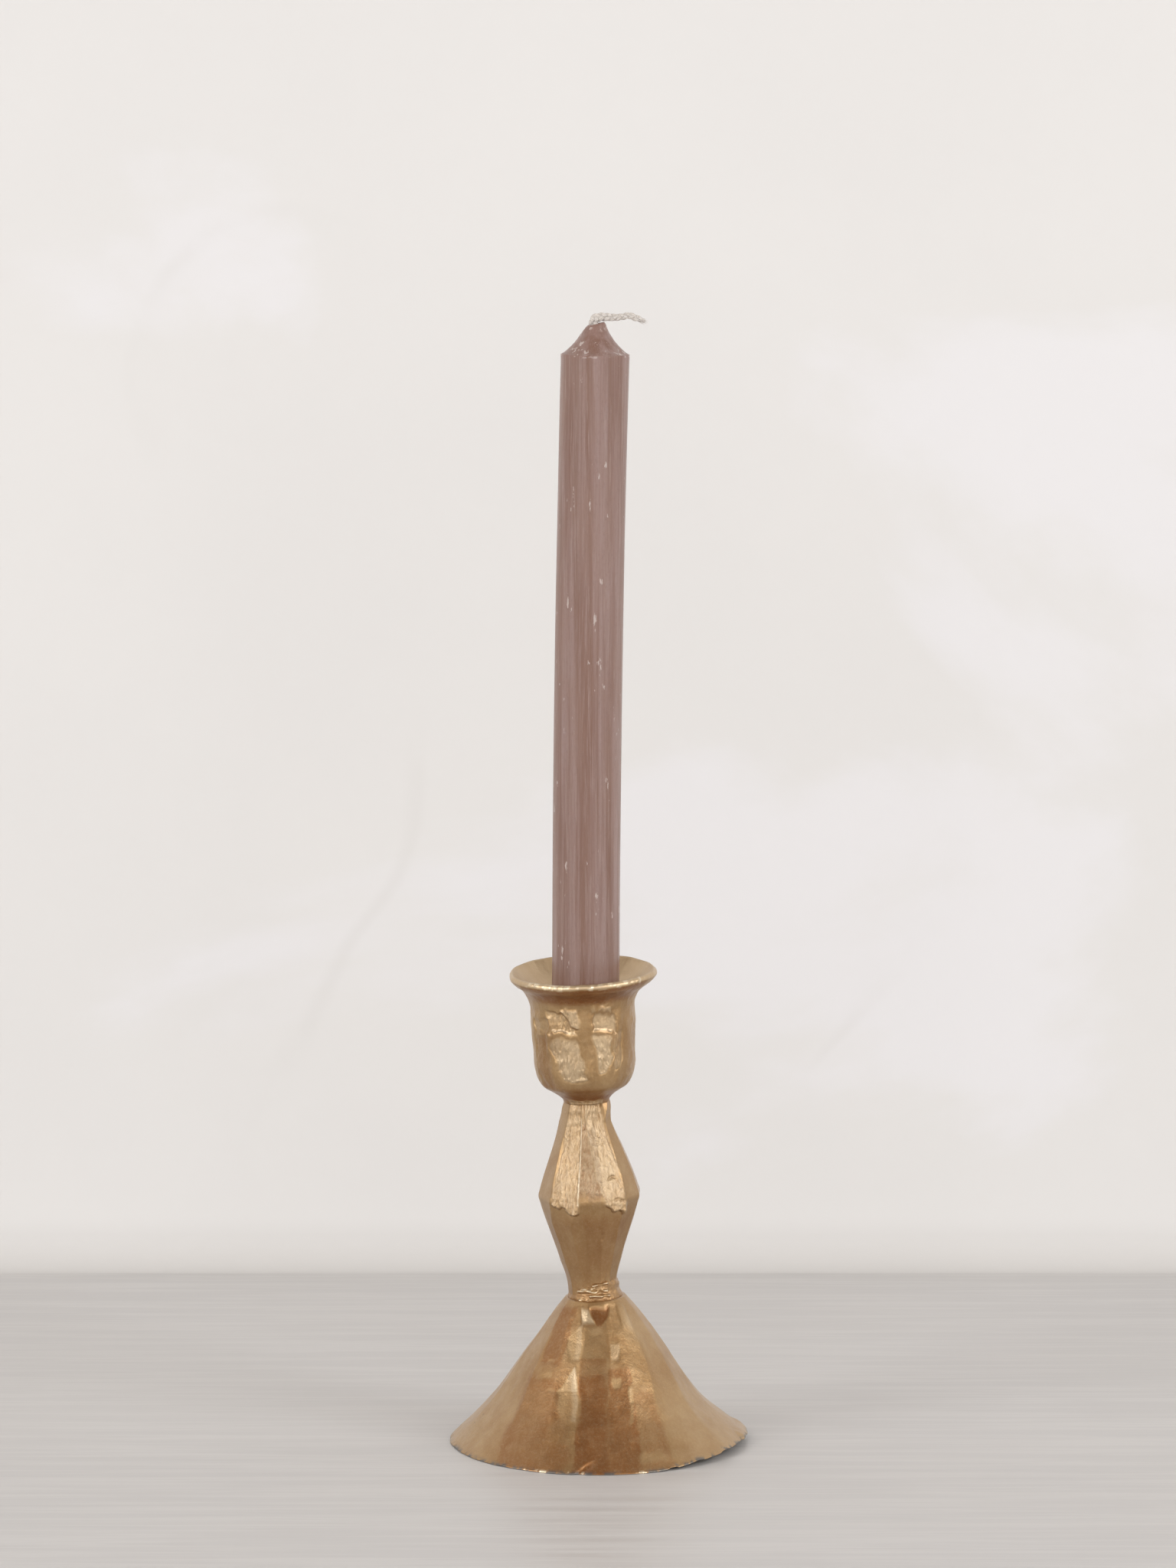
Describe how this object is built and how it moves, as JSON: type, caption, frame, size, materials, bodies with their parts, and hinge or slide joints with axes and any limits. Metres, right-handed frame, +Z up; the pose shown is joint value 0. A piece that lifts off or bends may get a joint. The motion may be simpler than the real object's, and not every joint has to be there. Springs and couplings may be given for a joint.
{
  "type": "candlestick",
  "caption": "Hammered metal candlestick with a hollow cone foot, double-cone stem and flared tulip cup, holding a straight dinner candle with a folded wick.",
  "frame": {"origin": "on the table, at the middle of the foot's rim", "axes": "+Z up along the foot's axis; -Y is the front; +X is the side the wick is folded to; stem and cup lean slightly towards -X"},
  "size_m": [0.0952, 0.0952, 0.3678],
  "materials": {
    "gold_paint": "satin",
    "zinc_steel": "satin",
    "mauve_wax": "satin",
    "cotton_wick": "matte"
  },
  "bodies": {
    "stick": {"foot": "gold_paint", "stem": "gold_paint", "foot_bead": "gold_paint", "cup": "gold_paint", "tie_screw": "zinc_steel", "foot_washer": "zinc_steel", "spring_washer": "zinc_steel", "foot_nut": "zinc_steel"},
    "candle": {"candle_wax": "mauve_wax", "wick": "cotton_wick"}
  },
  "joints": [
    {"name": "candle_lift", "type": "slide", "parent": "stick", "child": "candle", "axis": [0.0152, 0, 0.9999], "range_m": [0, 0.035]}
  ]
}
